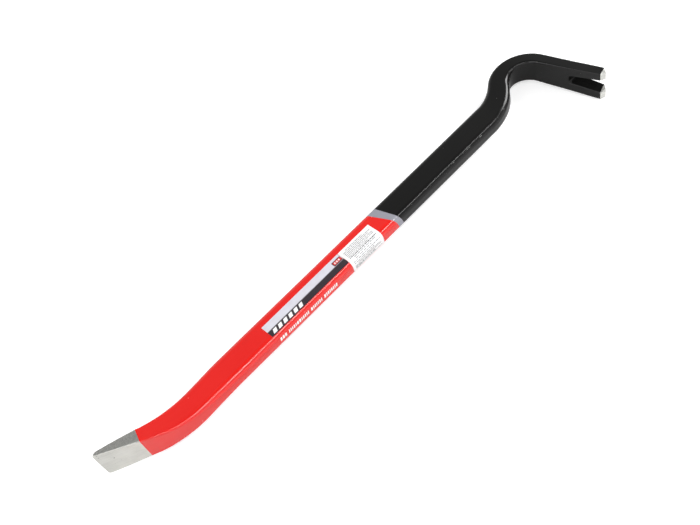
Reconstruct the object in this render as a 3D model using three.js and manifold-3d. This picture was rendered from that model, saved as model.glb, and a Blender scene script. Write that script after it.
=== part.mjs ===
// A gooseneck pry bar with a chisel end and a nail claw, in millimetres.
// X runs along the shank from the chisel to the hook, and the hook opens towards -Y.
// The bends lie in the XY plane, and Z goes across the bar, which lies on its side.
import * as THREE from 'three';
import Module from 'manifold-3d';
import { mergeVertices } from 'three/addons/utils/BufferGeometryUtils.js';

const wasm = await Module();
wasm.setup();

// Bar stock
const overallLength = 600;
const shankDepth = 30;
const shankWidth = 17;
const cornerRadius = 6;
const halfDepth = shankDepth / 2;

// Chisel end: the front face is the convex one, on the hook's side
const chiselLength = 68;
const chiselFrontSlope = Math.tan(THREE.MathUtils.degToRad(30));
const chiselBackSlope = Math.tan(THREE.MathUtils.degToRad(14.7));
const chiselFrontReach = 27.5;
const chiselBackReach = 26.5;
const shoulderRun = 58;
const shoulderReach = 9.5;
const edgeThickness = 0.8;
const edgeBevel = 4.5;
const bevelThickness = 4.5;
const paintedBlade = 32;
const paintEdgeLean = 4.5;

// Gooseneck and claw: back is measured from the bar's end, and rise and drop from that face of the shank
const neckFront = { back: 80.5, reach: 31 };
const neckBack = { back: 86.5, reach: 17 };
const hookFront = { back: 33, rise: 51, reach: 38 };
const hookBack = { back: 22, rise: 46.5, reach: 61.5 };
const clawFront = { back: 9.8, drop: 53 };
const clawBack = { back: 0, drop: 81 };
const clawTipFront = { back: 9.4, drop: 53.14 };
const clawTipBack = { back: 3.6, drop: 85.2 };

// Width at each end, and its flare: pairs of distance along the bar, and the share of the flare there
const chiselWidth = 36;
const chiselFlare = [[0, 1], [10, 0.958], [38, 0.684], [70, 0.289], [105, 0.079], [135, 0], [150, 0]];
const clawWidth = 34.5;
const clawFlare = [[0, 1], [35, 0.8], [70, 0.646], [100, 0.457], [130, 0.229], [165, 0.023], [185, 0]];

// Radius of the long corners: pairs of distance along the bar from that end, and the radius there
const chiselRadii = [[0, 0.3], [36, 1], [70, 3], [105, 5], [135, cornerRadius], [150, cornerRadius]];
const clawRadii = [[0, 1.5], [70, 2.5], [100, 3.2], [130, 4.5], [165, cornerRadius], [185, cornerRadius]];
const sharpestRadius = 0.1;
const roundestShare = 0.45;

// V slot in the claw, wider on the front face, where nail heads enter
const slotLength = 34;
const slotBackLength = 29;
const slotMouth = 16.4;
const slotBackMouth = 10.4;
const slotEnd = 9.6;
const slotBackEnd = 3;
const slotCornerReach = 2.4;
const slotBackCornerReach = 1;
const slotOverrun = 6;
const slotReachPast = 0.3;

// Paint, the grey band and the labels
const coatThickness = 0.3;
const coatGap = 0.3;
const coatEndGap = 0.3;
const bandStart = 336.5;
const bandEnd = 345;
const bandStartLean = 0.42;
const bandEndLean = 0.27;
const bandSideLean = 0.25;
const bandGap = 0.3;
const labelThickness = 0.3;
const labelGap = 0.3;
const paperStart = 280;
const paperLength = 42;
const paperGirth = 33;
const labelEdge = 4;
const filmLength = 100;
const filmStart = paperStart - labelGap - filmLength;
const filmGirth = 15.5;

// The stretches of the front and back outlines, in order, with the steps along each
const stretchSteps = {
	bevel: 1,
	bareBlade: 1,
	paintedBlade: 2,
	chiselBend: 10,
	flank: 2,
	shoulder: 5,
	shank: 1,
	neckBend: 10,
	rise: 2,
	hookBend: 18,
	claw: 4,
	nose: 1,
};
const stretches = Object.keys(stretchSteps);
const cornerSteps = 5;
const slotCornerSteps = 4;
const wrapSteps = 44;
const cutOverrun = 2;
const weldDistance = 1e-5;
const straightCosine = 1e-6;

// Colour, roughness and metalness of each finish
const finishes = {
	steel: [0xd3d4ce, 0.4, 1],
	red: [0xe8221f, 0.25, 0],
	black: [0x1f1f20, 0.25, 0],
	grey: [0x96969e, 0.3, 0],
	paper: [0xf4f4f4, 0.7, 0],
	film: [0xc9c8d0, 0.3, 0],
};

// Outlines, corner by corner, where reach is how far a bend runs along each straight from its corner

function corner(x, y, reach = 0) {
	return { at: new THREE.Vector2(x, y), reach };
}

const frontFace = -halfDepth;
const backFace = halfDepth;
const shoulderAt = chiselLength + shoulderRun;
const paintEdge = chiselLength - paintedBlade;
const bladeFront = (x) => frontFace + (chiselLength - x) * chiselFrontSlope;
const bladeBack = (x) => bladeFront(edgeBevel) + bevelThickness + (edgeBevel - x) * chiselBackSlope;

function frontCorners() {
	return [
		corner(0, bladeFront(0)),
		corner(edgeBevel, bladeFront(edgeBevel)),
		corner(paintEdge, bladeFront(paintEdge)),
		corner(chiselLength, frontFace, chiselFrontReach),
		corner(shoulderAt, frontFace, shoulderReach),
		corner(overallLength - neckFront.back, frontFace, neckFront.reach),
		corner(overallLength - hookFront.back, frontFace + hookFront.rise, hookFront.reach),
		corner(overallLength - clawFront.back, frontFace - clawFront.drop),
		corner(overallLength - clawTipFront.back, frontFace - clawTipFront.drop),
	];
}

function backCorners() {
	return [
		corner(0, bladeFront(0) + edgeThickness),
		corner(edgeBevel, bladeBack(edgeBevel)),
		corner(paintEdge + paintEdgeLean, bladeBack(paintEdge + paintEdgeLean)),
		corner(chiselLength, bladeBack(chiselLength), chiselBackReach),
		corner(shoulderAt, backFace, shoulderReach),
		corner(overallLength - neckBack.back, backFace, neckBack.reach),
		corner(overallLength - hookBack.back, backFace + hookBack.rise, hookBack.reach),
		corner(overallLength - clawBack.back, backFace - clawBack.drop),
		corner(overallLength - clawTipBack.back, backFace - clawTipBack.drop),
	];
}

// The arc that rounds a corner, or a straight where the outline doesn't turn
function bendAt(before, bend, after) {
	const inward = before.at.clone().sub(bend.at).normalize();
	const outward = after.at.clone().sub(bend.at).normalize();
	const start = bend.at.clone().addScaledVector(inward, bend.reach);
	const end = bend.at.clone().addScaledVector(outward, bend.reach);
	const halfAngle = Math.acos(THREE.MathUtils.clamp(inward.dot(outward), -1, 1)) / 2;
	if (Math.cos(halfAngle) < straightCosine) {
		return new THREE.LineCurve(start, end);
	}
	const radius = bend.reach * Math.tan(halfAngle);
	const middle = inward.clone().add(outward).normalize();
	const centre = bend.at.clone().addScaledVector(middle, bend.reach / Math.cos(halfAngle));
	const from = start.clone().sub(centre).angle();
	const to = end.clone().sub(centre).angle();
	const clockwise = inward.cross(outward) > 0;
	return new THREE.EllipseCurve(centre.x, centre.y, radius, radius, from, to, clockwise);
}

function outline(corners) {
	const curves = [];
	let last = corners[0].at;
	for (let i = 1; i < corners.length; i += 1) {
		const bend = corners[i].reach > 0 ? bendAt(corners[i - 1], corners[i], corners[i + 1]) : null;
		const stop = bend ? bend.getPoint(0) : corners[i].at;
		curves.push(new THREE.LineCurve(last, stop));
		if (bend) {
			curves.push(bend);
		}
		last = bend ? bend.getPoint(1) : stop;
	}
	return curves;
}

// Stations: the two outlines are walked side by side, and each station joins a pair of points
const front = outline(frontCorners());
const back = outline(backCorners());

function walkOutlines() {
	const stations = [];
	stretches.forEach((stretch, index) => {
		const steps = stretchSteps[stretch];
		for (let step = index === 0 ? 0 : 1; step <= steps; step += 1) {
			const share = step / steps;
			stations.push({ front: front[index].getPoint(share), back: back[index].getPoint(share), stretch, share });
		}
	});
	let run = 0;
	stations.forEach((station, index) => {
		station.middle = station.front.clone().lerp(station.back, 0.5);
		run += index ? station.middle.distanceTo(stations[index - 1].middle) : 0;
		station.fromChisel = run;
	});
	stations.forEach((station) => {
		station.fromClaw = run - station.fromChisel;
	});
	return stations;
}

const stations = walkOutlines();

function sizeAt(stops, distance) {
	const places = stops.map((stop) => stop[0]);
	const sizes = stops.map((stop) => stop[1]);
	const curve = new THREE.CubicInterpolant(places, sizes, 1, new Float32Array(1));
	return curve.evaluate(Math.min(distance, places[places.length - 1]))[0];
}

function widthAt(station) {
	const nearChisel = station.fromChisel < station.fromClaw;
	const endWidth = nearChisel ? chiselWidth : clawWidth;
	const flare = nearChisel ? sizeAt(chiselFlare, station.fromChisel) : sizeAt(clawFlare, station.fromClaw);
	return THREE.MathUtils.lerp(shankWidth, endWidth, flare);
}

function radiusAt(station) {
	const nearChisel = station.fromChisel < station.fromClaw;
	return nearChisel ? sizeAt(chiselRadii, station.fromChisel) : sizeAt(clawRadii, station.fromClaw);
}

// A ring of points round the bar: a rectangle with rounded corners, standing on a station
function ringAt(station, inset) {
	const across = station.back.clone().sub(station.front);
	const depth = across.length() - 2 * inset;
	const width = widthAt(station) - 2 * inset;
	const roundest = roundestShare * Math.min(depth, width);
	const radius = Math.min(Math.max(radiusAt(station) - inset, sharpestRadius), roundest);
	across.normalize();
	const ring = [];
	for (let quarter = 0; quarter < 4; quarter += 1) {
		const alongDepth = quarter === 0 || quarter === 3 ? 1 : -1;
		const alongWidth = quarter < 2 ? 1 : -1;
		for (let step = 0; step <= cornerSteps; step += 1) {
			const angle = (quarter + step / cornerSteps) * (Math.PI / 2);
			const d = alongDepth * (depth / 2 - radius) + radius * Math.cos(angle);
			const w = alongWidth * (width / 2 - radius) + radius * Math.sin(angle);
			ring.push(new THREE.Vector3(station.middle.x + across.x * d, station.middle.y + across.y * d, w));
		}
	}
	return ring;
}

// A slanted ring on the straight shank, at x on the axis
function slantedRing(x, lean, inset) {
	const onShank = stations.find((station) => station.stretch === 'shank');
	return ringAt(onShank, inset).map(({ y, z }) => new THREE.Vector3(x - lean * y - bandSideLean * z, y, z));
}

function shifted(ring, offset) {
	return ring.map((point) => point.clone().add(offset));
}

// Meshes from rings

function skin(rings, outward = true) {
	const faces = [];
	for (let i = 1; i < rings.length; i += 1) {
		const near = rings[i - 1];
		const far = rings[i];
		near.forEach((point, k) => {
			const next = (k + 1) % near.length;
			faces.push([near[k], far[next], far[k]], [near[k], near[next], far[next]]);
		});
	}
	return outward ? faces : faces.map((face) => face.reverse());
}

function cap(ring, facesBack) {
	const faces = [];
	for (let k = 1; k < ring.length - 1; k += 1) {
		faces.push(facesBack ? [ring[0], ring[k + 1], ring[k]] : [ring[0], ring[k], ring[k + 1]]);
	}
	return faces;
}

function geometryOf(faces) {
	const positions = faces.flat().flatMap((point) => [point.x, point.y, point.z]);
	const geometry = new THREE.BufferGeometry();
	geometry.setAttribute('position', new THREE.Float32BufferAttribute(positions, 3));
	return mergeVertices(geometry, weldDistance);
}

function loft(rings) {
	return geometryOf([...cap(rings[0], true), ...skin(rings), ...cap(rings[rings.length - 1], false)]);
}

// A thin sleeve between an outer and an inner skin, closed by a rim at each end
function sleeve(outer, inner) {
	const last = outer.length - 1;
	return geometryOf([
		...skin(outer),
		...skin(inner, false),
		...skin([inner[0], outer[0]]),
		...skin([outer[last], inner[last]]),
	]);
}

// Joining and cutting

function toSolid(geometry) {
	const vertProperties = new Float32Array(geometry.attributes.position.array);
	const triVerts = new Uint32Array(geometry.index.array);
	return new wasm.Manifold(new wasm.Mesh({ numProp: 3, vertProperties, triVerts }));
}

function toGeometry(solid) {
	const mesh = solid.getMesh();
	const geometry = new THREE.BufferGeometry();
	geometry.setAttribute('position', new THREE.BufferAttribute(new Float32Array(mesh.vertProperties), 3));
	geometry.setIndex(new THREE.BufferAttribute(new Uint32Array(mesh.triVerts), 1));
	return geometry;
}

// The slot's cutter: its outline on the front face, ruled to that on the back face and past both.
// The overrun is how far it runs out past the end of the claw's paint.
function slotCutter(grow, overrun = slotOverrun) {
	const claw = stretches.indexOf('claw');
	const tipFront = front[claw].getPoint(1);
	const tipBack = back[claw].getPoint(1);
	const alongFront = front[claw].getPoint(0).sub(tipFront).normalize();
	const alongBack = back[claw].getPoint(0).sub(tipBack).normalize();
	const ringThrough = (through) => {
		const origin = tipFront.clone().lerp(tipBack, through);
		const along = alongFront.clone().lerp(alongBack, through);
		const end = THREE.MathUtils.lerp(slotLength, slotBackLength, through) + grow;
		const mouthHalf = THREE.MathUtils.lerp(slotMouth, slotBackMouth, through) / 2;
		const endHalf = THREE.MathUtils.lerp(slotEnd, slotBackEnd, through) / 2;
		const reach = THREE.MathUtils.lerp(slotCornerReach, slotBackCornerReach, through);
		const flare = (mouthHalf - endHalf) / end;
		const mouth = mouthHalf + flare * overrun + grow;
		const blunt = endHalf + grow;
		const corners = [
			corner(-overrun, -mouth),
			corner(end, -blunt, reach),
			corner(end, blunt, reach),
			corner(-overrun, mouth),
		];
		const bends = outline(corners).filter((curve) => curve.isEllipseCurve);
		const points = [corners[0].at, ...bends.flatMap((bend) => bend.getPoints(slotCornerSteps)), corners[3].at];
		return points.map((point) => {
			const at = origin.clone().addScaledVector(along, point.x);
			return new THREE.Vector3(at.x, at.y, point.y);
		});
	};
	return toSolid(loft([ringThrough(-slotReachPast), ringThrough(1 + slotReachPast)]));
}

// Sub-parts

function stationsOn(firstStretch, lastStretch) {
	const first = stretches.indexOf(firstStretch);
	const last = stretches.indexOf(lastStretch);
	return stations.filter(({ stretch, share }) => {
		const place = stretches.indexOf(stretch);
		const startsHere = place === first - 1 && share === 1;
		return startsHere || (place >= first && place <= last);
	});
}

// A station moved a distance along the bar towards its neighbour
function drawnBack(station, neighbour, distance) {
	const share = distance / station.middle.distanceTo(neighbour.middle);
	return {
		front: station.front.clone().lerp(neighbour.front, share),
		back: station.back.clone().lerp(neighbour.back, share),
		middle: station.middle.clone().lerp(neighbour.middle, share),
		fromChisel: THREE.MathUtils.lerp(station.fromChisel, neighbour.fromChisel, share),
		fromClaw: THREE.MathUtils.lerp(station.fromClaw, neighbour.fromClaw, share),
	};
}

function forgedBar() {
	const inset = coatThickness + coatGap;
	const bare = stationsOn('bevel', 'bareBlade').map((station) => ringAt(station, 0));
	const painted = stationsOn('paintedBlade', 'claw').map((station) => ringAt(station, inset));
	const nose = stationsOn('nose', 'nose').map((station) => ringAt(station, 0));
	const blank = toSolid(loft([...bare, ...painted, ...nose]));
	const underPaint = slotCutter(inset, 0);
	return toGeometry(blank.subtract(slotCutter(0)).subtract(underPaint));
}

function redCoat() {
	const covered = stationsOn('paintedBlade', 'shoulder');
	covered[0] = drawnBack(covered[0], covered[1], coatEndGap);
	const rings = (inset) => [
		...covered.map((station) => ringAt(station, inset)),
		slantedRing(bandStart, bandStartLean, inset),
	];
	return sleeve(rings(0), rings(coatThickness));
}

function greyBand() {
	const rings = (inset) => [
		slantedRing(bandStart + bandGap, bandStartLean, inset),
		slantedRing(bandEnd - bandGap, bandEndLean, inset),
	];
	return sleeve(rings(0), rings(coatThickness));
}

function blackCoat() {
	const covered = stationsOn('neckBend', 'claw');
	const last = covered.length - 1;
	const pastClaw = covered[last].middle.clone().sub(covered[last - 1].middle).setLength(cutOverrun);
	covered[last] = drawnBack(covered[last], covered[last - 1], coatEndGap);
	const rings = (inset) => [
		slantedRing(bandEnd, bandEndLean, inset),
		...covered.map((station) => ringAt(station, inset)),
	];
	const inner = rings(coatThickness);
	const before = shifted(inner[0], new THREE.Vector3(-cutOverrun, 0, 0));
	const after = shifted(inner[inner.length - 1], new THREE.Vector3(pastClaw.x, pastClaw.y, 0));
	const outside = toSolid(loft(rings(0))).subtract(slotCutter(0));
	const inside = toSolid(loft([before, ...inner, after])).subtract(slotCutter(coatThickness));
	return toGeometry(outside.subtract(inside));
}

// A label follows the section from the wide top face round the corner and down the narrow face.
// Girth 0 is where the top face's flat ends and the corner begins.
function girthPoint(girth, lift) {
	const flatDepth = halfDepth - cornerRadius;
	const flatWidth = shankWidth / 2 - cornerRadius;
	const quarter = cornerRadius * Math.PI / 2;
	const radius = cornerRadius + lift;
	if (girth < 0) {
		return new THREE.Vector2(-flatDepth - girth, shankWidth / 2 + lift);
	}
	if (girth < quarter) {
		const angle = girth / cornerRadius;
		return new THREE.Vector2(-flatDepth - radius * Math.sin(angle), flatWidth + radius * Math.cos(angle));
	}
	if (girth < quarter + 2 * flatWidth) {
		return new THREE.Vector2(-halfDepth - lift, flatWidth - (girth - quarter));
	}
	const angle = (girth - quarter - 2 * flatWidth) / cornerRadius;
	return new THREE.Vector2(-flatDepth - radius * Math.cos(angle), -flatWidth - radius * Math.sin(angle));
}

function label(start, length, girth) {
	const firstGirth = -(halfDepth - cornerRadius) - labelEdge;
	const points = (lift) => Array.from({ length: wrapSteps + 1 }, (_, step) => (
		girthPoint(firstGirth + girth * step / wrapSteps, lift)
	));
	const section = new THREE.Shape([...points(labelGap), ...points(labelGap + labelThickness).reverse()]);
	const geometry = new THREE.ExtrudeGeometry(section, { depth: length, bevelEnabled: false });
	geometry.rotateX(Math.PI / 2);
	geometry.rotateZ(Math.PI / 2);
	geometry.translate(start, 0, 0);
	return geometry;
}

const pieces = [
	['forged_bar', forgedBar(), finishes.steel],
	['red_coat', redCoat(), finishes.red],
	['grey_band', greyBand(), finishes.grey],
	['black_coat', blackCoat(), finishes.black],
	['film_label', label(filmStart, filmLength, filmGirth), finishes.film],
	['paper_label', label(paperStart, paperLength, paperGirth), finishes.paper],
];

const group = new THREE.Group();
for (const [name, geometry, [color, roughness, metalness]] of pieces) {
	const mesh = new THREE.Mesh(geometry, new THREE.MeshStandardMaterial({ color, roughness, metalness }));
	mesh.name = name;
	group.add(mesh);
}

// The origin is at the middle of the box's underside
const box = new THREE.Box3().setFromObject(group);
const centre = box.getCenter(new THREE.Vector3());
group.position.set(-centre.x, -centre.y, -box.min.z);

export default group;
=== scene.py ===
import math
import random

import bmesh
import bpy
from mathutils import Matrix, Vector


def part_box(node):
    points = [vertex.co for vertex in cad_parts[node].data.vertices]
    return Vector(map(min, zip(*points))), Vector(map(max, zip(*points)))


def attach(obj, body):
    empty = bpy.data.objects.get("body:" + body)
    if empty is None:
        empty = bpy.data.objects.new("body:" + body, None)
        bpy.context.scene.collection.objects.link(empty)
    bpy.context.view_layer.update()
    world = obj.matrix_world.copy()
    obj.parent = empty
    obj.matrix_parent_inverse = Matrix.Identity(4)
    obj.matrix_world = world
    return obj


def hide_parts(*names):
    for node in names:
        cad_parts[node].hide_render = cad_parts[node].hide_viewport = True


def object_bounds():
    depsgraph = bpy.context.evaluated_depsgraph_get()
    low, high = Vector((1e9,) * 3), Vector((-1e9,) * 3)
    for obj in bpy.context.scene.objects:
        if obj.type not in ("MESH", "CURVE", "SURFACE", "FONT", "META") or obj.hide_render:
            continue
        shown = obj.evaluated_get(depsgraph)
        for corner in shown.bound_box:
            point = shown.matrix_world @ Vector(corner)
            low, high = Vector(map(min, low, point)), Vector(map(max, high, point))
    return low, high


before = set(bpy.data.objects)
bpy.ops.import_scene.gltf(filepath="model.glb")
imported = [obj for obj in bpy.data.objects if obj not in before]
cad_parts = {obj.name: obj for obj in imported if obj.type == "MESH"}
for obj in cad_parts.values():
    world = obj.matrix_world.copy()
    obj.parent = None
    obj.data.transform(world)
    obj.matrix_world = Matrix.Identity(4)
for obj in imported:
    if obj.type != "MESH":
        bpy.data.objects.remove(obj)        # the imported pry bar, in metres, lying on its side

# Places come from the frame. Shapes are in millimetres from the chisel's edge and the shank's axis.
cadLow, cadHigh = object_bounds()
bandLow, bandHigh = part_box("grey_band")
mm = 0.001
tipX = cadLow.x
axisY = (bandLow.y + bandHigh.y) / 2
axisZ = (bandLow.z + bandHigh.z) / 2

stock = {
    "length": (cadHigh.x - cadLow.x) / mm,
    "depth": 30.0,
    "width": 17.0,
    "cornerRadius": 6.0,
    "cornerSteps": 8,
    "leastRadius": 0.1,
    "mostRounding": 0.45,    # the greatest corner radius, as a share of the section's shorter side
}
halfDepth = stock["depth"] / 2

chisel = {
    "length": 68.0,
    "frontSlope": math.tan(math.radians(30)),
    "backSlope": math.tan(math.radians(14.7)),
    "frontReach": 27.5,
    "backReach": 26.5,
    "shoulderRun": 58.0,
    "shoulderReach": 9.5,
    "edgeThickness": 0.8,
    "edgeBevel": 4.5,
    "bevelThickness": 4.5,
    "paintedBlade": 32.0,
    "paintEdgeLean": 4.5,
    "width": 36.0,
    "flare": [(0, 1), (10, 0.958), (38, 0.684), (70, 0.289), (105, 0.079), (135, 0), (150, 0)],
    "radii": [(0, 0.3), (36, 1), (70, 3), (105, 5), (135, 6), (150, 6)],
    "tipRounding": 2.6,      # how far the ends of the edge are rounded off
}

# back is measured from the bar's end; rise and drop are measured from that face of the shank
gooseneck = {
    "neckFront": {"back": 80.5, "reach": 31.0},
    "neckBack": {"back": 86.5, "reach": 17.0},
    "hookFront": {"back": 33.0, "rise": 51.0, "reach": 38.0},
    "hookBack": {"back": 22.0, "rise": 46.5, "reach": 61.5},
    "clawFront": {"back": 9.8, "drop": 53.0},
    "clawBack": {"back": 0.0, "drop": 81.0},
    "noseFront": {"back": 9.4, "drop": 53.14},
    "noseBack": {"back": 3.6, "drop": 85.2},
    "width": 34.5,
    "flare": [(0, 1), (35, 0.8), (70, 0.646), (100, 0.457), (130, 0.229), (165, 0.023), (185, 0)],
    "radii": [(0, 0.7), (70, 2.2), (100, 3.2), (130, 4.5), (165, 6), (185, 6)],
}

# The grey band. Its ends lean with the height in the section and across the bar.
stripe = {
    "start": 336.5,
    "end": 345.0,
    "startLean": 0.42,
    "endLean": 0.27,
    "sideLean": 0.25,
    "gap": 0.02,
}

# The stretches of both outlines, in order, with the steps along each
stretchSteps = {
    "bevel": 12,
    "bareBlade": 8,
    "paintedBlade": 6,
    "chiselBend": 26,
    "flank": 8,
    "shoulder": 10,
    "shank": 14,
    "neckBend": 24,
    "rise": 4,
    "hookBend": 44,
    "claw": 28,
    "nose": 4,
}
stretches = list(stretchSteps)


def corner(x, y, reach=0.0):
    return {"at": Vector((x, y)), "reach": reach}


def frontFaceOf(x):
    return -halfDepth + (chisel["length"] - x) * chisel["frontSlope"]


def backFaceOf(x):
    bevel = chisel["edgeBevel"]
    return frontFaceOf(bevel) + chisel["bevelThickness"] + (bevel - x) * chisel["backSlope"]


def bladeCorners(side):
    paintEdge = chisel["length"] - chisel["paintedBlade"]
    if side == "front":
        places = [0, chisel["edgeBevel"], paintEdge]
        blade = [corner(x, frontFaceOf(x)) for x in places]
        return blade + [corner(chisel["length"], -halfDepth, chisel["frontReach"])]
    places = [chisel["edgeBevel"], paintEdge + chisel["paintEdgeLean"]]
    blade = [corner(0, frontFaceOf(0) + chisel["edgeThickness"])]
    blade += [corner(x, backFaceOf(x)) for x in places]
    return blade + [corner(chisel["length"], backFaceOf(chisel["length"]), chisel["backReach"])]


def outlineCorners(side):
    face = -halfDepth if side == "front" else halfDepth
    names = ("neck", "hook", "claw", "nose")
    neck, hook, claw, nose = (gooseneck[name + side.capitalize()] for name in names)
    end = stock["length"]
    return bladeCorners(side) + [
        corner(chisel["length"] + chisel["shoulderRun"], face, chisel["shoulderReach"]),
        corner(end - neck["back"], face, neck["reach"]),
        corner(end - hook["back"], face + hook["rise"], hook["reach"]),
        corner(end - claw["back"], face - claw["drop"]),
        corner(end - nose["back"], face - nose["drop"]),
    ]


def straight(start, end):
    return lambda share: start.lerp(end, share)


leastTurn = 1e-6


# The arc that rounds a corner, or a straight where the outline doesn't turn
def arcRound(before, bend, after):
    inward = (before["at"] - bend["at"]).normalized()
    outward = (after["at"] - bend["at"]).normalized()
    if abs(inward.cross(outward)) < leastTurn:
        return straight(bend["at"] + inward * bend["reach"], bend["at"] + outward * bend["reach"])
    halfAngle = inward.angle(outward) / 2
    centre = bend["at"] + (inward + outward).normalized() * (bend["reach"] / math.cos(halfAngle))
    spoke = bend["at"] + inward * bend["reach"] - centre
    turn = math.pi - 2 * halfAngle
    if inward.cross(outward) > 0:
        turn = -turn
    return lambda share: centre + Matrix.Rotation(turn * share, 2) @ spoke


def outline(corners):
    curves = []
    last = corners[0]["at"]
    for index in range(1, len(corners)):
        bend = corners[index]
        arc = arcRound(corners[index - 1], bend, corners[index + 1]) if bend["reach"] else None
        stop = arc(0) if arc else bend["at"]
        curves.append(straight(last, stop))
        if arc:
            curves.append(arc)
        last = arc(1) if arc else stop
    return curves


frontCurves = outline(outlineCorners("front"))
backCurves = outline(outlineCorners("back"))


# Stations: the outlines are walked side by side, and each station joins a pair of their points
def walkOutlines():
    walked = []
    for index, stretch in enumerate(stretches):
        steps = stretchSteps[stretch]
        for step in range(0 if index == 0 else 1, steps + 1):
            share = step / steps
            front, back = frontCurves[index](share), backCurves[index](share)
            walked.append({"stretch": stretch, "share": share, "front": front, "back": back})
    run = 0.0
    for index, station in enumerate(walked):
        station["middle"] = station["front"].lerp(station["back"], 0.5)
        run += (station["middle"] - walked[index - 1]["middle"]).length if index else 0.0
        station["fromChisel"] = run
    for station in walked:
        station["fromClaw"] = run - station["fromChisel"]
    return walked


# A smooth curve through a table's stops, held at the last value past its end
def smoothThrough(stops, distance):
    distance = min(distance, stops[-1][0])
    after = next(index for index in range(1, len(stops)) if distance <= stops[index][0])
    (t0, v0), (t1, v1) = stops[after - 1], stops[after]
    tBefore, vBefore = stops[after - 2] if after > 1 else (2 * t0 - t1, v1)
    tAfter, vAfter = stops[after + 1] if after + 1 < len(stops) else (2 * t1 - t0, v0)
    halfStep = (t1 - t0) / 2
    weightBefore, weightAfter = halfStep / (t0 - tBefore), halfStep / (tAfter - t1)
    p = (distance - t0) / (t1 - t0)
    shareBefore = -weightBefore * p**3 + 2 * weightBefore * p**2 - weightBefore * p
    share0 = (
        (1 + weightBefore) * p**3 - (1.5 + 2 * weightBefore) * p**2 + (weightBefore - 0.5) * p + 1
    )
    share1 = -(1 + weightAfter) * p**3 + (1.5 + weightAfter) * p**2 + 0.5 * p
    shareAfter = weightAfter * p**3 - weightAfter * p**2
    return shareBefore * vBefore + share0 * v0 + share1 * v1 + shareAfter * vAfter


def sizesAt(station):
    end, distance = chisel, station["fromChisel"]
    if station["fromClaw"] < station["fromChisel"]:
        end, distance = gooseneck, station["fromClaw"]
    width = stock["width"] + (end["width"] - stock["width"]) * smoothThrough(end["flare"], distance)
    rounding = chisel["tipRounding"]
    if station["fromChisel"] < rounding:      # the ends of the chisel's edge
        width -= 2 * (rounding - math.sqrt(rounding**2 - (rounding - station["fromChisel"]) ** 2))
    return width, smoothThrough(end["radii"], distance)


# A ring is a rectangle with round corners, standing on a station. Each point has its barMap spot:
# metres along the bar, and a turn that gains a half at each corner and a half on the flat after it.
def ringAt(station, inset):
    across = station["back"] - station["front"]
    width, radius = sizesAt(station)
    depth = across.length - 2 * inset
    width -= 2 * inset
    mostRadius = stock["mostRounding"] * min(depth, width)
    radius = min(max(radius - inset, stock["leastRadius"]), mostRadius)
    across.normalize()
    steps = stock["cornerSteps"]
    ring = []
    for quarter, (alongDepth, alongWidth) in enumerate(((1, 1), (-1, 1), (-1, -1), (1, -1))):
        for step in range(steps + 1):
            angle = (quarter + step / steps) * math.pi / 2
            d = alongDepth * (depth / 2 - radius) + radius * math.cos(angle)
            w = alongWidth * (width / 2 - radius) + radius * math.sin(angle)
            place = station["middle"] + across * d
            spot = (station["fromChisel"] * mm, quarter + 0.5 * step / steps)
            ring.append(((place.x, place.y, w), spot))
    return ring


def movedRing(ring, x, y):
    return [((px + x, py + y, pz), spot) for (px, py, pz), spot in ring]


stations = walkOutlines()
shankStation = next(station for station in stations if station["stretch"] == "shank")


# A ring at x on the shank, leaning as the grey band's ends do
def slantedRing(x, lean, inset):
    slanted = []
    for (_, py, pz), spot in ringAt(shankStation, inset):
        point = (x - lean * py - stripe["sideLean"] * pz, py, pz)
        slanted.append((point, (x * mm, spot[1])))
    return slanted


# The stations from one stretch to another, with the one that the first stretch starts from
def stationsOn(first, last):
    low, high = stretches.index(first), stretches.index(last)
    found = []
    for station in stations:
        place = stretches.index(station["stretch"])
        if low <= place <= high or (place == low - 1 and station["share"] == 1):
            found.append(station)
    return found


def toFrame(point):
    return Vector((tipX + point[0] * mm, axisY + point[1] * mm, axisZ + point[2] * mm))


def newPiece(name, mesh, *materials):
    piece = bpy.data.objects.new(name, mesh)
    bpy.context.scene.collection.objects.link(piece)
    for material in materials:
        mesh.materials.append(material)
    return piece


def meshFrom(name, build):
    made = bmesh.new()
    build(made, made.loops.layers.uv.new("barMap"))
    mesh = bpy.data.meshes.new(name)
    made.to_mesh(mesh)
    made.free()
    return mesh


wholeTurn = 4.0      # the turn gained round a ring
endTurn = -1.0       # the turn that marks the end faces


# Quads between each ring and the next, and a flat face over both ends of a closed skin
def skinRings(made, barMap, rings, outward=True, closed=False):
    rows = [[made.verts.new(toFrame(point)) for point, spot in ring] for ring in rings]
    count = len(rings[0])

    def addFace(verts, spots):
        if not outward:
            verts, spots = verts[::-1], spots[::-1]
        face = made.faces.new(verts)
        for loop, spot in zip(face.loops, spots):
            loop[barMap].uv = spot
        return face

    for i in range(1, len(rings)):
        for k in range(count):
            n = (k + 1) % count
            turn = wholeTurn if n == 0 else 0.0
            spots = [rings[i - 1][k][1], rings[i - 1][n][1], rings[i][n][1], rings[i][k][1]]
            spots[1] = (spots[1][0], spots[1][1] + turn)
            spots[2] = (spots[2][0], spots[2][1] + turn)
            addFace([rows[i - 1][k], rows[i - 1][n], rows[i][n], rows[i][k]], spots)
    if closed:
        for row, ring, flip in ((rows[0], rings[0], True), (rows[-1], rings[-1], False)):
            verts = row[::-1] if flip else row
            addFace(verts, [(ring[0][1][0], endTurn)] * count)
    return rows


def solidFrom(name, rings, *materials):
    mesh = meshFrom(name, lambda made, barMap: skinRings(made, barMap, rings, closed=True))
    return newPiece(name, mesh, *materials)


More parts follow.
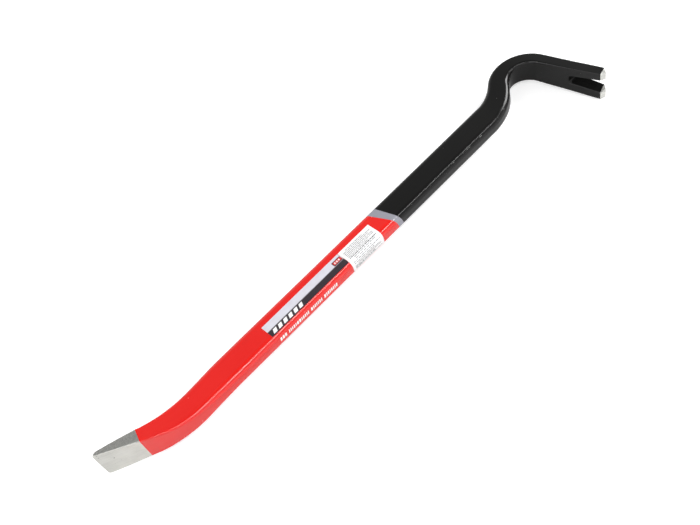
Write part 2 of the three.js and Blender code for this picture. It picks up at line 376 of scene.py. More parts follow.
# A thin sleeve: an outer and an inner skin, joined by a rim at each end
def sleeveFrom(name, outer, inner, *materials):
    def build(made, barMap):
        outerRows = skinRings(made, barMap, outer)
        innerRows = skinRings(made, barMap, inner, outward=False)
        count = len(outerRows[0])
        for end, flip in ((0, False), (-1, True)):
            for k in range(count):
                n = (k + 1) % count
                verts = [outerRows[end][n], outerRows[end][k], innerRows[end][k], innerRows[end][n]]
                face = made.faces.new(verts[::-1] if flip else verts)
                for loop in face.loops:
                    loop[barMap].uv = outer[end][k][1]

    return newPiece(name, meshFrom(name, build), *materials)


# Applies a piece's modifiers to its mesh
def settle(piece):
    bpy.context.view_layer.update()
    shown = piece.evaluated_get(bpy.context.evaluated_depsgraph_get())
    settled = bpy.data.meshes.new_from_object(shown)
    piece.modifiers.clear()
    rough = piece.data
    piece.data = settled
    bpy.data.meshes.remove(rough)


def cutAway(piece, cutter):
    cut = piece.modifiers.new("cut", "BOOLEAN")
    cut.operation = "DIFFERENCE"
    cut.solver = "MANIFOLD"
    cut.object = cutter
    settle(piece)
    bpy.data.objects.remove(cutter)


def roundEdges(piece, chosen, width, segments):
    made = bmesh.new()
    made.from_mesh(piece.data)
    edges = [edge for edge in made.edges if len(edge.link_faces) == 2 and chosen(edge)]
    bmesh.ops.bevel(
        made, geom=edges, offset=width * mm, segments=segments, profile=0.5, affect="EDGES"
    )
    made.to_mesh(piece.data)
    made.free()


smoothing = {
    "sharpAngle": 35,        # edges that turn more than this, in degrees, stay sharp
    "weight": 100,           # how much the large faces lead the small ones
}


def smoothOff(piece):
    for polygon in piece.data.polygons:
        polygon.use_smooth = True
    piece.data.set_sharp_from_angle(angle=math.radians(smoothing["sharpAngle"]))
    evened = piece.modifiers.new("evened", "WEIGHTED_NORMAL")
    evened.keep_sharp = True
    evened.weight = smoothing["weight"]


def fixTo(piece, slotName, *nodes):
    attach(piece, "root")
    if nodes:
        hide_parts(*nodes)


# What each noise is like: the size of its grains in millimetres, its detail and its roughness
noises = {
    "orangePeel": (1.6, 2.0, 0.5),
    "hammerWaves": (16.0, 1.0, 0.5),
    "rubGrain": (2.2, 4.0, 0.65),
    "smear": (24.0, 5.0, 0.6),
    "fineMarks": (0.35, 3.0, 0.6),
    "broadMarks": (1.5, 2.0, 0.5),
    "paintTone": (60.0, 2.0, 0.5),
    "steelCloud": (14.0, 3.0, 0.5),
    "steelMottle": (0.9, 5.0, 0.65),
    "inkWear": (0.8, 3.0, 0.5),
    "sheetCloud": (9.0, 3.0, 0.5),
    "sheetGrain": (0.25, 2.0, 0.5),
    "sheetWaves": (5.0, 2.0, 0.5),
}


# A board adds nodes to a tree, from left to right
class Board:
    nodeSpacing = 190

    def __init__(self, tree):
        self.tree = tree
        self.tree.nodes.clear()

    def add(self, kind, **settings):
        node = self.tree.nodes.new(kind if kind.startswith("NodeGroup") else "ShaderNode" + kind)
        node.location = (len(self.tree.nodes) * self.nodeSpacing, 0)
        for name, value in settings.items():
            setattr(node, name, value)
        return node

    def link(self, source, target):
        self.tree.links.new(source, target)

    def feed(self, socket, value):
        if isinstance(value, bpy.types.NodeSocket):
            self.link(value, socket)
        else:
            socket.default_value = value

    def math(self, operation, first, second=0.0, clamp=False):
        node = self.add("Math", operation=operation, use_clamp=clamp)
        self.feed(node.inputs[0], first)
        self.feed(node.inputs[1], second)
        return node.outputs[0]

    # The sum of two values, each taken by its share
    def mixed(self, first, firstShare, second, secondShare):
        first = self.math("MULTIPLY", first, firstShare)
        return self.math("ADD", first, self.math("MULTIPLY", second, secondShare))

    # 0 below low and 1 above high
    def ramp(self, value, low, high):
        node = self.add("MapRange", interpolation_type="SMOOTHSTEP")
        self.feed(node.inputs["Value"], value)
        self.feed(node.inputs["From Min"], low)
        self.feed(node.inputs["From Max"], high)
        return node.outputs["Result"]

    # low where the value is 0 and high where it is 1
    def span(self, value, low, high):
        node = self.add("MapRange")
        self.feed(node.inputs["Value"], value)
        node.inputs["To Min"].default_value = low
        node.inputs["To Max"].default_value = high
        return node.outputs["Result"]

    def blend(self, amount, first, second):
        node = self.add("Mix", data_type="RGBA")
        self.feed(node.inputs["Factor"], amount)
        self.feed(node.inputs["A"], first)
        self.feed(node.inputs["B"], second)
        return node.outputs["Result"]

    def place(self):
        return self.add("TexCoord").outputs["Object"]

    # Grains come out long in the directions whose scale is small
    def stretched(self, vector, scale):
        node = self.add("Mapping")
        self.link(vector, node.inputs["Vector"])
        node.inputs["Scale"].default_value = scale
        return node.outputs["Vector"]

    def noise(self, vector, name):
        size, detail, roughness = noises[name]
        node = self.add("TexNoise")
        self.link(vector, node.inputs["Vector"])
        node.inputs["Scale"].default_value = 1 / (size * mm)
        node.inputs["Detail"].default_value = detail
        node.inputs["Roughness"].default_value = roughness
        return node.outputs["Fac"]

    def group(self, tree, **values):
        node = self.add("Group", node_tree=tree)
        for name, value in values.items():
            self.feed(node.inputs[name], value)
        return node


# A group with one output. An input is a number with its default, or a vector where that is None.
def newGroup(name, inputs, output):
    tree = bpy.data.node_groups.new(name, "ShaderNodeTree")
    for socketName, default in inputs.items():
        kind = "NodeSocketVector" if default is None else "NodeSocketFloat"
        socket = tree.interface.new_socket(socketName, in_out="INPUT", socket_type=kind)
        if default is not None:
            socket.default_value = default
    tree.interface.new_socket(output, in_out="OUTPUT", socket_type="NodeSocketFloat")
    board = Board(tree)
    return board, board.add("NodeGroupInput"), board.add("NodeGroupOutput")


# The skin of sprayed paint over a forging: fine orange peel over slow hammered waves
def makePaintSkin():
    board, given, out = newGroup("paintSkin", {"peel": 0.5, "waves": 0.5}, "height")
    place = board.place()
    peel = board.math("MULTIPLY", board.noise(place, "orangePeel"), given.outputs["peel"])
    waves = board.math("MULTIPLY", board.noise(place, "hammerWaves"), given.outputs["waves"])
    board.link(board.math("ADD", peel, waves), out.inputs["height"])
    return board.tree


rub = {
    "crestTurn": 0.25,       # the middle of each corner, past a whole number
    "stretch": (0.35, 1, 1),
    "edge": 0.06,            # how softly a rubbed patch ends
}


# 1 on the crest of a long corner, 0 on the flats, broken up by grain
def makeArrisRub():
    board, given, out = newGroup("arrisRub", {"reach": 0.5, "coverage": 0.4}, "mask")
    spot = board.add("SeparateXYZ")
    board.link(board.add("UVMap", uv_map="barMap").outputs["UV"], spot.inputs[0])
    turn = board.math("FRACT", spot.outputs["Y"])
    off = board.math("ABSOLUTE", board.math("SUBTRACT", turn, rub["crestTurn"]))
    off = board.math("MULTIPLY", off, 1 / rub["crestTurn"])
    crest = board.math("SUBTRACT", 1.0, off, clamp=True)
    onRing = board.math("GREATER_THAN", spot.outputs["Y"], endTurn / 2)
    crest = board.math("MULTIPLY", crest, onRing)
    near = board.ramp(crest, board.math("SUBTRACT", 1.0, given.outputs["reach"]), 1.0)
    grain = board.noise(board.stretched(board.place(), rub["stretch"]), "rubGrain")
    bare = board.math("SUBTRACT", 1.0, given.outputs["coverage"])
    bareFully = board.math("ADD", bare, rub["edge"])
    broken = board.ramp(board.math("MULTIPLY", grain, near), bare, bareFully)
    board.link(broken, out.inputs["mask"])
    return board.tree


speck = {
    "size": 0.28,            # the largest, as a share of its cell
    "core": 0.6,             # the part of a speck that shows fully
}


# Small round specks of dust, and nibs in the paint
def makeSpecks():
    board, given, out = newGroup("specks", {"scale": 400.0, "share": 0.1}, "mask")
    cells = board.add("TexVoronoi")
    board.link(board.place(), cells.inputs["Vector"])
    board.link(given.outputs["scale"], cells.inputs["Scale"])
    picked = board.add("SeparateColor")
    board.link(cells.outputs["Color"], picked.inputs[0])
    chosen = board.math("LESS_THAN", picked.outputs[0], given.outputs["share"])
    size = board.math("MULTIPLY", picked.outputs[1], speck["size"])
    core = board.math("MULTIPLY", size, speck["core"])
    dot = board.math("SUBTRACT", 1.0, board.ramp(cells.outputs["Distance"], core, size))
    board.link(board.math("MULTIPLY", dot, chosen), out.inputs["mask"])
    return board.tree


smear = {
    "stretch": (0.5, 1, 1),
    "from": 0.35,
    "to": 0.7,
}


# Slow patches where the surface was wiped or handled
def makeSmears():
    board, _, out = newGroup("smears", {}, "mask")
    patches = board.noise(board.stretched(board.place(), smear["stretch"]), "smear")
    board.link(board.ramp(patches, smear["from"], smear["to"]), out.inputs["mask"])
    return board.tree


grind = {
    "fineShare": 0.6,
    "broadShare": 0.4,
}


# Fine parallel scratches, long in the direction that the given vector is squeezed in
def makeGrindMarks():
    board, given, out = newGroup("grindMarks", {"vector": None}, "mask")
    fine = board.noise(given.outputs["vector"], "fineMarks")
    broad = board.noise(given.outputs["vector"], "broadMarks")
    marks = board.mixed(fine, grind["fineShare"], broad, grind["broadShare"])
    board.link(marks, out.inputs["mask"])
    return board.tree


paintSkin = makePaintSkin()
arrisRub = makeArrisRub()
specks = makeSpecks()
smears = makeSmears()
grindMarks = makeGrindMarks()


def newMaterial(name):
    material = bpy.data.materials.new(name)
    material.use_nodes = True
    board = Board(material.node_tree)
    shader = board.add("BsdfPrincipled")
    board.link(shader.outputs[0], board.add("OutputMaterial").inputs["Surface"])
    return material, board, shader


def addBump(board, shader, height, distance):
    bump = board.add("Bump")
    bump.inputs["Distance"].default_value = distance * mm
    bump.inputs["Strength"].default_value = 1.0
    board.link(height, bump.inputs["Height"])
    board.link(bump.outputs["Normal"], shader.inputs["Normal"])


# Gloss lacquer sprayed on the forging
def makePaint(name, look):
    material, board, shader = newMaterial(name)
    skin = board.group(paintSkin, peel=look["peel"], waves=look["waves"]).outputs["height"]
    rubbed = board.group(arrisRub, reach=look["rubReach"], coverage=look["rubCoverage"])
    rubbed = rubbed.outputs["mask"]
    dust = board.group(specks, scale=look["dustScale"], share=look["dust"]).outputs["mask"]
    smeared = board.group(smears).outputs["mask"]
    tone = board.noise(board.place(), "paintTone")
    colour = board.blend(tone, look["colour"], look["deepColour"])
    dustShown = board.math("MULTIPLY", dust, look["dustShown"])
    colour = board.blend(dustShown, colour, look["dustColour"])
    colour = board.blend(rubbed, colour, look["rubbedColour"])
    board.link(colour, shader.inputs["Base Color"])
    rough = board.span(smeared, look["roughness"], look["smearRoughness"])
    rough = board.math("ADD", rough, board.math("MULTIPLY", rubbed, look["rubbedRougher"]))
    rough = board.math("ADD", rough, board.math("MULTIPLY", dust, look["dustRougher"]))
    board.link(rough, shader.inputs["Roughness"])
    shader.inputs["Specular IOR Level"].default_value = look["specular"]
    rubbedDepth = board.math("MULTIPLY", rubbed, look["rubbedDepth"])
    addBump(board, shader, board.math("SUBTRACT", skin, rubbedDepth), look["bump"])
    return material


studio = {
    "floorSize": 14.0,
    "floorSides": 64,
    "floorDrop": 0.0002,     # below the bar's lowest point
    "floorColour": (0.76, 0.76, 0.76, 1),
    "floorRoughness": 0.9,
    "floorGlow": 0.5,        # for the camera alone, so that no light comes off it
    "glowColour": (1, 1, 1, 1),
    # Each of the sky's stops: how steeply the way to it rises, and its brightness
    "sky": [(0.05, 1.0), (0.55, 0.5), (0.78, 0.3), (1.0, 0.1)],
}

# Softboxes: the way to each from its aim on the bar, how far off it is, its two sides and its power
lamps = {
    "stripLamp": {
        "aim": 0.32,
        "way": (0.0, -0.55, 0.83),
        "far": 2.1,
        "sides": (2.8, 0.13),
        "power": 25.0,
    },
    "leftLamp": {
        "aim": 0.0,
        "way": (-0.85, -0.05, 0.62),
        "far": 2.6,
        "sides": (2.0, 2.0),
        "power": 27.0,
    },
    "rightLamp": {
        "aim": 0.3,
        "way": (0.85, -0.12, 0.55),
        "far": 1.3,
        "sides": (0.7, 0.7),
        "power": 16.0,
    },
}

view = {
    "lookAt": (-0.0167, 0.0118, 0.018),
    "place": (-0.272, -0.440, 0.684),
    "roll": -20.49,
    "lens": 46.32,
    "nearest": 0.01,
}


def makeFloor():
    mesh = bpy.data.meshes.new("floor")
    made = bmesh.new()
    radius, sides = studio["floorSize"] / 2, studio["floorSides"]
    bmesh.ops.create_circle(made, cap_ends=True, radius=radius, segments=sides)
    made.to_mesh(mesh)
    made.free()
    material, board, shader = newMaterial("floorPaper")
    shader.inputs["Base Color"].default_value = studio["floorColour"]
    shader.inputs["Roughness"].default_value = studio["floorRoughness"]
    shader.inputs["Emission Color"].default_value = studio["glowColour"]
    seen = board.add("LightPath").outputs["Is Camera Ray"]
    glow = board.math("MULTIPLY", seen, studio["floorGlow"])
    board.link(glow, shader.inputs["Emission Strength"])
    floor = newPiece("floor", mesh, material)
    floor.location.z = cadLow.z - studio["floorDrop"]


def makeLamp(name, setting):
    light = bpy.data.lights.new(name, "AREA")
    light.shape = "RECTANGLE"
    light.size, light.size_y = setting["sides"]
    light.energy = setting["power"]
    lamp = bpy.data.objects.new(name, light)
    bpy.context.scene.collection.objects.link(lamp)
    direction = Vector(setting["way"]).normalized()
    lamp.location = Vector((setting["aim"], axisY, axisZ)) + direction * setting["far"]
    lamp.rotation_euler = direction.to_track_quat("Z", "Y").to_euler()


def makeSky():
    world = bpy.data.worlds.new("studioSky")
    world.use_nodes = True
    bpy.context.scene.world = world
    board = Board(world.node_tree)
    way = board.add("SeparateXYZ")
    board.link(board.add("TexCoord").outputs["Generated"], way.inputs[0])
    band = board.add("ValToRGB")
    board.link(way.outputs["Z"], band.inputs["Fac"])
    stops = band.color_ramp.elements
    while len(stops) < len(studio["sky"]):
        stops.new(0.5)
    for stop, (height, bright) in zip(stops, studio["sky"]):
        stop.position = height
        stop.color = (bright, bright, bright, 1)
    shade = board.add("Background")
    board.link(band.outputs["Color"], shade.inputs["Color"])
    board.link(shade.outputs[0], board.add("OutputWorld").inputs["Surface"])


def makeCamera():
    lens = bpy.data.cameras.new("camera")
    lens.lens = view["lens"]
    lens.clip_start = view["nearest"]
    camera = bpy.data.objects.new("camera", lens)
    bpy.context.scene.collection.objects.link(camera)
    camera.location = view["place"]
    away = Vector(view["place"]) - Vector(view["lookAt"])
    roll = Matrix.Rotation(math.radians(view["roll"]), 3, "Z").to_quaternion()
    camera.rotation_mode = "QUATERNION"
    camera.rotation_quaternion = away.to_track_quat("Z", "Y") @ roll
    bpy.context.scene.camera = camera


makeFloor()
makeSky()
for lampName, lampSetting in lamps.items():
    makeLamp(lampName, lampSetting)
makeCamera()
bpy.context.scene.view_settings.view_transform = "Standard"
print("studio ready")


# The paint's thickness, and how far the steel lies under it and under the bare faces
coat = {
    "thickness": 0.2,
    "steelUnder": 0.25,
    "steelBare": 0.08,
    "edgeAngle": 40,         # the slot's edges that turn more than this, in degrees, are rounded
    "edgeRounding": 0.5,
    "edgeSegments": 3,
    "hollowOverrun": 2.0,    # how far the black coat's hollow runs out past its ends
}

slot = {
    "length": 34.0,
    "backLength": 29.0,
    "mouth": 16.4,
    "backMouth": 10.4,
    "end": 9.6,
    "backEnd": 3.0,
    "cornerReach": 2.6,
    "backCornerReach": 1.2,
    "overrun": 6.0,
    "reachPast": 0.3,
    "cornerSteps": 8,
    # The cut faces' barMap spots: turns on a side flat, away from the corners
    "spotAlong": 0.5,
    "spotThrough": 0.01,
    "firstTurn": 0.5,
    "turns": 0.4,
}


# The slot's cutter: its outline on the claw's front face, ruled to the one on the back face and
# past both
def slotCutter(grow):
    claw = stretches.index("claw")
    tipFront, tipBack = frontCurves[claw](1), backCurves[claw](1)
    alongFront = (frontCurves[claw](0) - tipFront).normalized()
    alongBack = (backCurves[claw](0) - tipBack).normalized()

    def ringThrough(through):
        def between(name):
            front, back = slot[name], slot["back" + name[0].upper() + name[1:]]
            return front + (back - front) * through

        origin, along = tipFront.lerp(tipBack, through), alongFront.lerp(alongBack, through)
        end = between("length") + grow
        mouthHalf, endHalf = between("mouth") / 2, between("end") / 2
        flare = (mouthHalf - endHalf) / end
        mouth, blunt = mouthHalf + flare * slot["overrun"] + grow, endHalf + grow
        reach = between("cornerReach")
        corners = [
            corner(-slot["overrun"], -mouth),
            corner(end, -blunt, reach),
            corner(end, blunt, reach),
            corner(-slot["overrun"], mouth),
        ]
        curves = outline(corners)
        steps = slot["cornerSteps"]
        flat = [corners[0]["at"]]
        for bend in (curves[1], curves[3]):
            flat += [bend(step / steps) for step in range(steps + 1)]
        flat.append(corners[3]["at"])
        ring = []
        for index, point in enumerate(flat):
            at = origin + along * point.x
            spotAlong = slot["spotAlong"] + through * slot["spotThrough"]
            turn = slot["firstTurn"] + slot["turns"] * index / len(flat)
            ring.append(((at.x, at.y, point.y), (spotAlong, turn)))
        return ring

    ends = (-slot["reachPast"], 1 + slot["reachPast"])
    return solidFrom("slotCutter", [ringThrough(through) for through in ends])


# Bare steel: the blade's two faces, then its sides, its corners and the prong ends
faceLook = {
    "colour": (0.80, 0.795, 0.755, 1),
    "deepColour": (0.66, 0.655, 0.62, 1),
    "marksStretch": (0.06, 0.06, 1),
    "marksShare": 0.6,
    "cloudShare": 0.4,
    "tone": (0.35, 0.7),
    "dust": 0.08,
    "dustScale": 330.0,
    "dustColour": (0.2, 0.19, 0.18, 1),
    "roughness": (0.38, 0.55),
    "bump": 0.05,
}
sideLook = {
    "colour": (0.78, 0.78, 0.74, 1),
    "deepColour": (0.56, 0.56, 0.535, 1),
    "marksStretch": (0.3, 0.3, 1),
    "mottleStretch": (0.5, 1, 1),
    "tone": (0.36, 0.66),
    "roughness": (0.34, 0.6),
    "marksHeight": 0.4,
    "bump": 0.12,
    "lastTurn": 1.45,        # past an even number, the sides and corners have turns under this
}


def makeSteelFace():
    look = faceLook
    material, board, shader = newMaterial("steelFace")
    place = board.stretched(board.place(), look["marksStretch"])
    marks = board.group(grindMarks, vector=place).outputs["mask"]
    cloud = board.noise(board.place(), "steelCloud")
    dust = board.group(specks, scale=look["dustScale"], share=look["dust"]).outputs["mask"]
    tone = board.mixed(marks, look["marksShare"], cloud, look["cloudShare"])
    colour = board.blend(board.ramp(tone, *look["tone"]), look["colour"], look["deepColour"])
    board.link(board.blend(dust, colour, look["dustColour"]), shader.inputs["Base Color"])
    shader.inputs["Metallic"].default_value = 1.0
    board.link(board.span(marks, *look["roughness"]), shader.inputs["Roughness"])
    addBump(board, shader, marks, look["bump"])
    return material


def makeSteelSide():
    look = sideLook
    material, board, shader = newMaterial("steelSide")
    place = board.stretched(board.place(), look["marksStretch"])
    marks = board.group(grindMarks, vector=place).outputs["mask"]
    mottle = board.noise(board.stretched(board.place(), look["mottleStretch"]), "steelMottle")
    tone = board.ramp(mottle, *look["tone"])
    colour = board.blend(tone, look["deepColour"], look["colour"])
    board.link(colour, shader.inputs["Base Color"])
    shader.inputs["Metallic"].default_value = 1.0
    rough = board.span(board.math("MULTIPLY", marks, mottle), *look["roughness"])
    board.link(rough, shader.inputs["Roughness"])
    scratches = board.math("MULTIPLY", marks, look["marksHeight"])
    addBump(board, shader, board.math("ADD", mottle, scratches), look["bump"])
    return material


def makeForging():
    bare = coat["steelBare"]
    under = coat["steelUnder"]
    blade = [ringAt(station, bare) for station in stationsOn("bevel", "bareBlade")]
    hidden = [ringAt(station, under) for station in stationsOn("paintedBlade", "claw")]
    nose = [ringAt(station, bare) for station in stationsOn("nose", "nose")]
    forging = solidFrom("forging", blade + hidden + nose, makeSteelFace(), makeSteelSide())
    cutAway(forging, slotCutter(coat["thickness"] + stripe["gap"]))
    barMap = forging.data.uv_layers["barMap"].data
    for polygon in forging.data.polygons:
        turn = sum(barMap[loop].uv.y for loop in polygon.loop_indices) / polygon.loop_total % 2
        polygon.material_index = 1 if 0 < turn < sideLook["lastTurn"] else 0
    smoothOff(forging)
    fixTo(forging, "bare_steel", "forged_bar")


makeForging()
print("forging ready")

redLook = {
    "colour": (0.76, 0.011, 0.007, 1),
    "deepColour": (0.71, 0.008, 0.005, 1),
    "specular": 0.85,
    "roughness": 0.12,
    "smearRoughness": 0.2,
    "peel": 0.5,
    "waves": 0.6,
    "bump": 0.05,
    "rubReach": 0.35,
    "rubCoverage": 0.35,
    "rubbedColour": (0.45, 0.01, 0.01, 1),
    "rubbedRougher": 0.2,
    "rubbedDepth": 0.6,
    "dust": 0.02,
    "dustScale": 420.0,
    "dustColour": (0.9, 0.35, 0.32, 1),
    "dustShown": 0.5,
    "dustRougher": 0.3,
}
greyLook = {
    **redLook,
    "colour": (0.29, 0.29, 0.33, 1),
    "deepColour": (0.26, 0.26, 0.3, 1),
    "specular": 0.5,
    "rubbedColour": (0.2, 0.2, 0.21, 1),
    "dustColour": (0.6, 0.6, 0.62, 1),
}
blackLook = {
    **redLook,
    "colour": (0.0065, 0.0065, 0.0062, 1),
    "deepColour": (0.0052, 0.0052, 0.005, 1),
    "specular": 0.33,
    "rubReach": 0.5,
    "rubCoverage": 0.42,
    "rubbedColour": (0.16, 0.16, 0.155, 1),
    "dustColour": (0.12, 0.12, 0.12, 1),
}


def startRing(inset, gap=0.0):
    return slantedRing(stripe["start"] + gap, stripe["startLean"], inset)


def endRing(inset, gap=0.0):
    return slantedRing(stripe["end"] - gap, stripe["endLean"], inset)


def makeRedCoat():
    lastX = stripe["start"] - stock["depth"] / 2
    covered = stationsOn("paintedBlade", "shank")
    covered = [station for station in covered if station["middle"].x < lastX]

    def rings(inset):
        return [ringAt(station, inset) for station in covered] + [startRing(inset)]

    paint = makePaint("redPaint", redLook)
    red = sleeveFrom("redPaint", rings(0), rings(coat["thickness"]), paint)
    smoothOff(red)
    fixTo(red, "red_paint", "red_coat")


def makeGreyBand():
    def rings(inset):
        return [startRing(inset, stripe["gap"]), endRing(inset, stripe["gap"])]

    paint = makePaint("greyPaint", greyLook)
    grey = sleeveFrom("greyStripe", rings(0), rings(coat["thickness"]), paint)
    smoothOff(grey)
    fixTo(grey, "grey_paint", "grey_band")


def makeBlackCoat():
    firstX = stripe["end"] + stock["depth"] / 2
    covered = stationsOn("shank", "claw")
    covered = [station for station in covered if station["middle"].x > firstX]

    def rings(inset):
        return [endRing(inset)] + [ringAt(station, inset) for station in covered]

    black = solidFrom("blackPaint", rings(0), makePaint("blackPaint", blackLook))
    cutAway(black, slotCutter(0))
    hookX = toFrame((stock["length"] - gooseneck["hookFront"]["back"], 0, 0)).x
    leastAngle = math.radians(coat["edgeAngle"])

    def onSlot(edge):
        middle = (edge.verts[0].co + edge.verts[1].co) / 2
        return middle.x > hookX and edge.calc_face_angle(0) > leastAngle

    roundEdges(black, onSlot, coat["edgeRounding"], coat["edgeSegments"])
    overrun = coat["hollowOverrun"]
    pastClaw = (covered[-1]["middle"] - covered[-2]["middle"]).normalized() * overrun
    inner = rings(coat["thickness"])
    beforeBand = movedRing(inner[0], -overrun, 0)
    afterClaw = movedRing(inner[-1], pastClaw.x, pastClaw.y)
    hollow = solidFrom("hollow", [beforeBand, *inner, afterClaw])
    cutAway(hollow, slotCutter(coat["thickness"]))
    cutAway(black, hollow)
    smoothOff(black)
    fixTo(black, "black_paint", "black_coat")


makeRedCoat()
makeGreyBand()
makeBlackCoat()
print("paint ready")


# Every label starts at the same girth on the upper flat. Prints lie on the labels, in layers.
label = {
    "edge": 4.0,             # how far the labels reach past the shank's axis on the upper flat
    "lift": 0.03,
    "thickness": 0.12,
    "printLift": 0.16,
    "printThickness": 0.02,
    "layerGap": 0.01,
    "stepAcross": 0.35,      # the longest step of a patch's mesh round the section
    "stepAlong": 12,
}
firstGirth = -(halfDepth - stock["cornerRadius"]) - label["edge"]


# Labels and prints follow the section. Girth runs from where the upper flat ends: negative on the
# flat, then round the corner, down the narrow face and round the lower corner.
def girthPoint(girth, lift):
    radius = stock["cornerRadius"]
    flatDepth, flatWidth = halfDepth - radius, stock["width"] / 2 - radius
    quarter = radius * math.pi / 2
    out = radius + lift
    if girth < 0:
        return -flatDepth - girth, stock["width"] / 2 + lift
    if girth < quarter:
        angle = girth / radius
        return -flatDepth - out * math.sin(angle), flatWidth + out * math.cos(angle)
    if girth < quarter + 2 * flatWidth:
        return -halfDepth - lift, flatWidth - (girth - quarter)
    angle = (girth - quarter - 2 * flatWidth) / radius
    return -flatDepth - out * math.cos(angle), -flatWidth - out * math.sin(angle)


# Closed thin patches in one mesh. A patch is (x start, x end, girth start, girth end, lean).
def wrapPatches(name, patches, lift, thickness, *materials):
    def build(made, barMap):
        for start, end, low, high, lean in patches:
            steps = max(1, round((high - low) / label["stepAcross"]))
            columns = max(1, round((end - start) / label["stepAlong"]))
            layers = []
            for height in (lift, lift + thickness):
                grid = []
                for step in range(steps + 1):
                    girth = low + (high - low) * step / steps
                    y, z = girthPoint(girth, height)
                    shift = lean * (girth - (low + high) / 2)
                    row = []
                    for column in range(columns + 1):
                        x = start + (end - start) * column / columns - shift
                        row.append((made.verts.new(toFrame((x, y, z))), (x * mm, girth * mm)))
                    grid.append(row)
                layers.append(grid)

            def addFace(*corners):
                face = made.faces.new([vert for vert, spot in corners])
                for loop, (vert, spot) in zip(face.loops, corners):
                    loop[barMap].uv = spot

            under, over = layers
            for i in range(steps):
                for j in range(columns):
                    addFace(over[i][j], over[i + 1][j], over[i + 1][j + 1], over[i][j + 1])
                    addFace(under[i][j], under[i][j + 1], under[i + 1][j + 1], under[i + 1][j])
            for j in range(columns):
                k = j + 1
                addFace(under[0][j], over[0][j], over[0][k], under[0][k])
                addFace(under[steps][j], under[steps][k], over[steps][k], over[steps][j])
            for i in range(steps):
                k, last = i + 1, columns
                addFace(under[i][0], under[k][0], over[k][0], over[i][0])
                addFace(under[i][last], over[i][last], over[k][last], under[k][last])

    piece = newPiece(name, meshFrom(name, build), *materials)
    smoothOff(piece)
    return piece


inkWear = {
    "paler": 1.25,
    "raised": 0.01,
    "wear": (0.45, 0.75),
    "rougher": 0.12,
}


def makeInk(name, colour, roughness):
    material, board, shader = newMaterial(name)
    worn = board.noise(board.place(), "inkWear")
    paler = tuple(min(1, c * inkWear["paler"] + inkWear["raised"]) for c in colour[:3]) + (1,)
    shown = board.blend(board.ramp(worn, *inkWear["wear"]), colour, paler)
    board.link(shown, shader.inputs["Base Color"])
    rough = board.span(worn, roughness, roughness + inkWear["rougher"])
    board.link(rough, shader.inputs["Roughness"])
    return material


sheetWear = {
    "cloud": (0.35, 0.7),
    "rougher": 0.15,
    "grainHeight": 0.2,
}


def makeSheet(name, look):
    material, board, shader = newMaterial(name)
    cloud = board.noise(board.place(), "sheetCloud")
    grain = board.noise(board.place(), "sheetGrain")
    shown = board.blend(board.ramp(cloud, *sheetWear["cloud"]), look["colour"], look["shade"])
    board.link(shown, shader.inputs["Base Color"])
    rough = board.span(grain, look["roughness"], look["roughness"] + sheetWear["rougher"])
    board.link(rough, shader.inputs["Roughness"])
    grain = board.math("MULTIPLY", grain, sheetWear["grainHeight"])
    waves = board.noise(board.place(), "sheetWaves")
    addBump(board, shader, board.math("ADD", grain, waves), look["bump"])
    return material


def makeLabel(name, setting, slotName, node):
    patch = (setting["start"], setting["start"] + setting["length"],
             firstGirth, firstGirth + setting["girth"], 0)
    sheet = makeSheet(setting["sheetName"], setting["sheet"])
    fixTo(wrapPatches(name, [patch], label["lift"], label["thickness"], sheet), slotName, node)


# Girths and insets here are measured from the film's upper edge and from the tag's edges
film = {
    "start": 179.7,
    "length": 100.0,
    "girth": 15.5,
    "sheetName": "filmSheet",
    "sheet": {
        "colour": (0.66, 0.66, 0.73, 1),
        "shade": (0.62, 0.61, 0.67, 1),
        "roughness": 0.22,
        "bump": 0.03,
    },
    "stripeFrom": 9.0,       # the dark stripe fills the film from here to its lower edge
    "lineFrom": 8.4,
    "tag": {"start": 268.2, "end": 279.2, "low": 3.0, "high": 8.2},
    "fillInset": 0.9,
    "fillEndInset": 0.3,
    "ticks": 3,
    "tickStart": 2.0,
    "tickStep": 2.6,
    "tickWidth": 1.6,
    "tickInset": 1.6,
    "bars": 6,
    "barsStart": 184.0,
    "barWidth": 4.2,
    "barGap": 2.4,
    "barLean": 0.45,
    "barInsets": (0.9, 1.1),
}

# Each print's ink, its colour and roughness, and the layer that it lies in
filmInks = {
    "filmStripe": ("stripeInk", (0.03, 0.022, 0.028, 1), 0.25, 0),
    "filmLine": ("lineInk", (0.17, 0.165, 0.18, 1), 0.3, 0),
    "tagFrame": ("tagFrameInk", (0.07, 0.01, 0.015, 1), 0.3, 0),
    "tagFill": ("tagFillInk", (0.62, 0.03, 0.03, 1), 0.3, 1),
    "tagTicks": ("tagTickInk", (0.85, 0.72, 0.72, 1), 0.35, 2),
    "filmBars": ("barInk", (0.88, 0.88, 0.88, 1), 0.3, 1),
}


def tagPatches():
    tag = film["tag"]
    start, low, high = tag["start"], firstGirth + tag["low"], firstGirth + tag["high"]
    inset = film["fillInset"]
    fill = (start + inset, tag["end"] - film["fillEndInset"], low + inset, high - inset, 0)
    ticks = []
    for index in range(film["ticks"]):
        x, inset = start + film["tickStart"] + index * film["tickStep"], film["tickInset"]
        ticks.append((x, x + film["tickWidth"], low + inset, high - inset, 0))
    return {"tagFrame": [(start, tag["end"], low, high, 0)], "tagFill": [fill], "tagTicks": ticks}


def barPatches():
    width, (lowInset, highInset) = film["barWidth"], film["barInsets"]
    low = firstGirth + film["stripeFrom"] + lowInset
    high = firstGirth + film["girth"] - highInset
    bars = []
    for index in range(film["bars"]):
        x = film["barsStart"] + index * (width + film["barGap"])
        bars.append((x, x + width, low, high, film["barLean"]))
    return bars


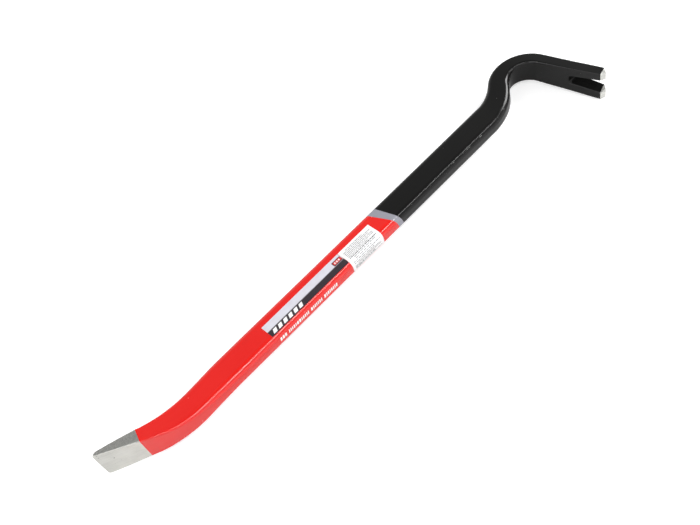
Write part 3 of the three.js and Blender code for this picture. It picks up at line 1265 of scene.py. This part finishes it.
def makeFilm():
    makeLabel("filmLabel", film, "label_film", "film_label")
    start, end = film["start"], film["start"] + film["length"]
    line, stripeTop = firstGirth + film["lineFrom"], firstGirth + film["stripeFrom"]
    patches = {
        "filmStripe": [(start, end, stripeTop, firstGirth + film["girth"], 0)],
        "filmLine": [(start, end, line, stripeTop, 0)],
        **tagPatches(),
        "filmBars": barPatches(),
    }
    for name, (inkName, colour, roughness, layer) in filmInks.items():
        lift = label["printLift"] + layer * (label["printThickness"] + label["layerGap"])
        ink = makeInk(inkName, colour, roughness)
        fixTo(wrapPatches(name, patches[name], lift, label["printThickness"], ink), "label_film")


paper = {
    "start": 280.0,
    "length": 42.0,
    "girth": 33.0,
    "sheetName": "paperSheet",
    "sheet": {
        "colour": (0.86, 0.86, 0.865, 1),
        "shade": (0.83, 0.83, 0.835, 1),
        "roughness": 0.5,
        "bump": 0.02,
    },
    "marginX": 3.2,
    "rows": 15,
    "firstRow": 3.2,
    "rowStep": 1.75,
    "rowHeight": 0.62,
    "heavyEvery": 7,
    "halfRow": 0.5,
    "halfHeavyRow": 0.7,
    "indents": (0, 0, 0, 4),
    "endIndents": (0, 0, 3, 9),
    "dashes": (0.9, 4.6),
    "leastDash": 0.5,
    "gaps": (0.45, 0.8),
    "dashTones": {"paperRules": 0.2, "paperHeavyRules": 0.09},
    "dashBlueness": 1.04,
    "dashRoughness": 0.5,
    "seed": 11,
}


# Rows of plain dashes on the paper
def makePaper():
    makeLabel("paperLabel", paper, "label_paper", "paper_label")
    start, end = paper["start"], paper["start"] + paper["length"]
    dice = random.Random(paper["seed"])
    dashes = {name: [] for name in paper["dashTones"]}
    for row in range(paper["rows"]):
        girth = firstGirth + paper["firstRow"] + row * paper["rowStep"]
        heavy = row % paper["heavyEvery"] == paper["heavyEvery"] - 1
        half = paper["rowHeight"] * paper["halfHeavyRow" if heavy else "halfRow"]
        x = start + paper["marginX"] + dice.choice(paper["indents"])
        stop = end - paper["marginX"] - dice.choice(paper["endIndents"])
        while x < stop:
            run = min(dice.uniform(*paper["dashes"]), stop - x)
            if run > paper["leastDash"]:
                dash = (x, x + run, girth - half, girth + half, 0)
                dashes["paperHeavyRules" if heavy else "paperRules"].append(dash)
            x += run + dice.uniform(*paper["gaps"])
    for name, tone in paper["dashTones"].items():
        colour = (tone, tone, tone * paper["dashBlueness"], 1)
        ink = makeInk(name + "Ink", colour, paper["dashRoughness"])
        lift, thickness = label["printLift"], label["printThickness"]
        fixTo(wrapPatches(name, dashes[name], lift, thickness, ink), "label_paper")


blocks = {
    "start": 184.0,
    "end": 258.0,
    "low": -3.6,             # across the narrow face, from its middle
    "high": 0.6,
    "lean": 0.12,
    "runs": (1.1, 1.5, 2.0),
    "gaps": (0.9, 0.9, 0.9, 0.9, 3.0),
    "lift": 0.02,
    "thickness": 0.03,
    "colour": (0.9, 0.88, 0.88, 1),
    "roughness": 0.3,
    "seed": 5,
}


# A row of plain white blocks printed on the narrow face
def makeBlocks():
    middle = stock["cornerRadius"] * math.pi / 2 + stock["width"] / 2 - stock["cornerRadius"]
    low, high = middle + blocks["low"], middle + blocks["high"]
    dice = random.Random(blocks["seed"])
    patches = []
    x = blocks["start"]
    while x < blocks["end"]:
        run = dice.choice(blocks["runs"])
        patches.append((x, x + run, low, high, blocks["lean"]))
        x += run + dice.choice(blocks["gaps"])
    ink = makeInk("blockInk", blocks["colour"], blocks["roughness"])
    piece = wrapPatches("shankBlocks", patches, blocks["lift"], blocks["thickness"], ink)
    fixTo(piece, "red_paint")


makeFilm()
makePaper()
makeBlocks()
print("labels ready")
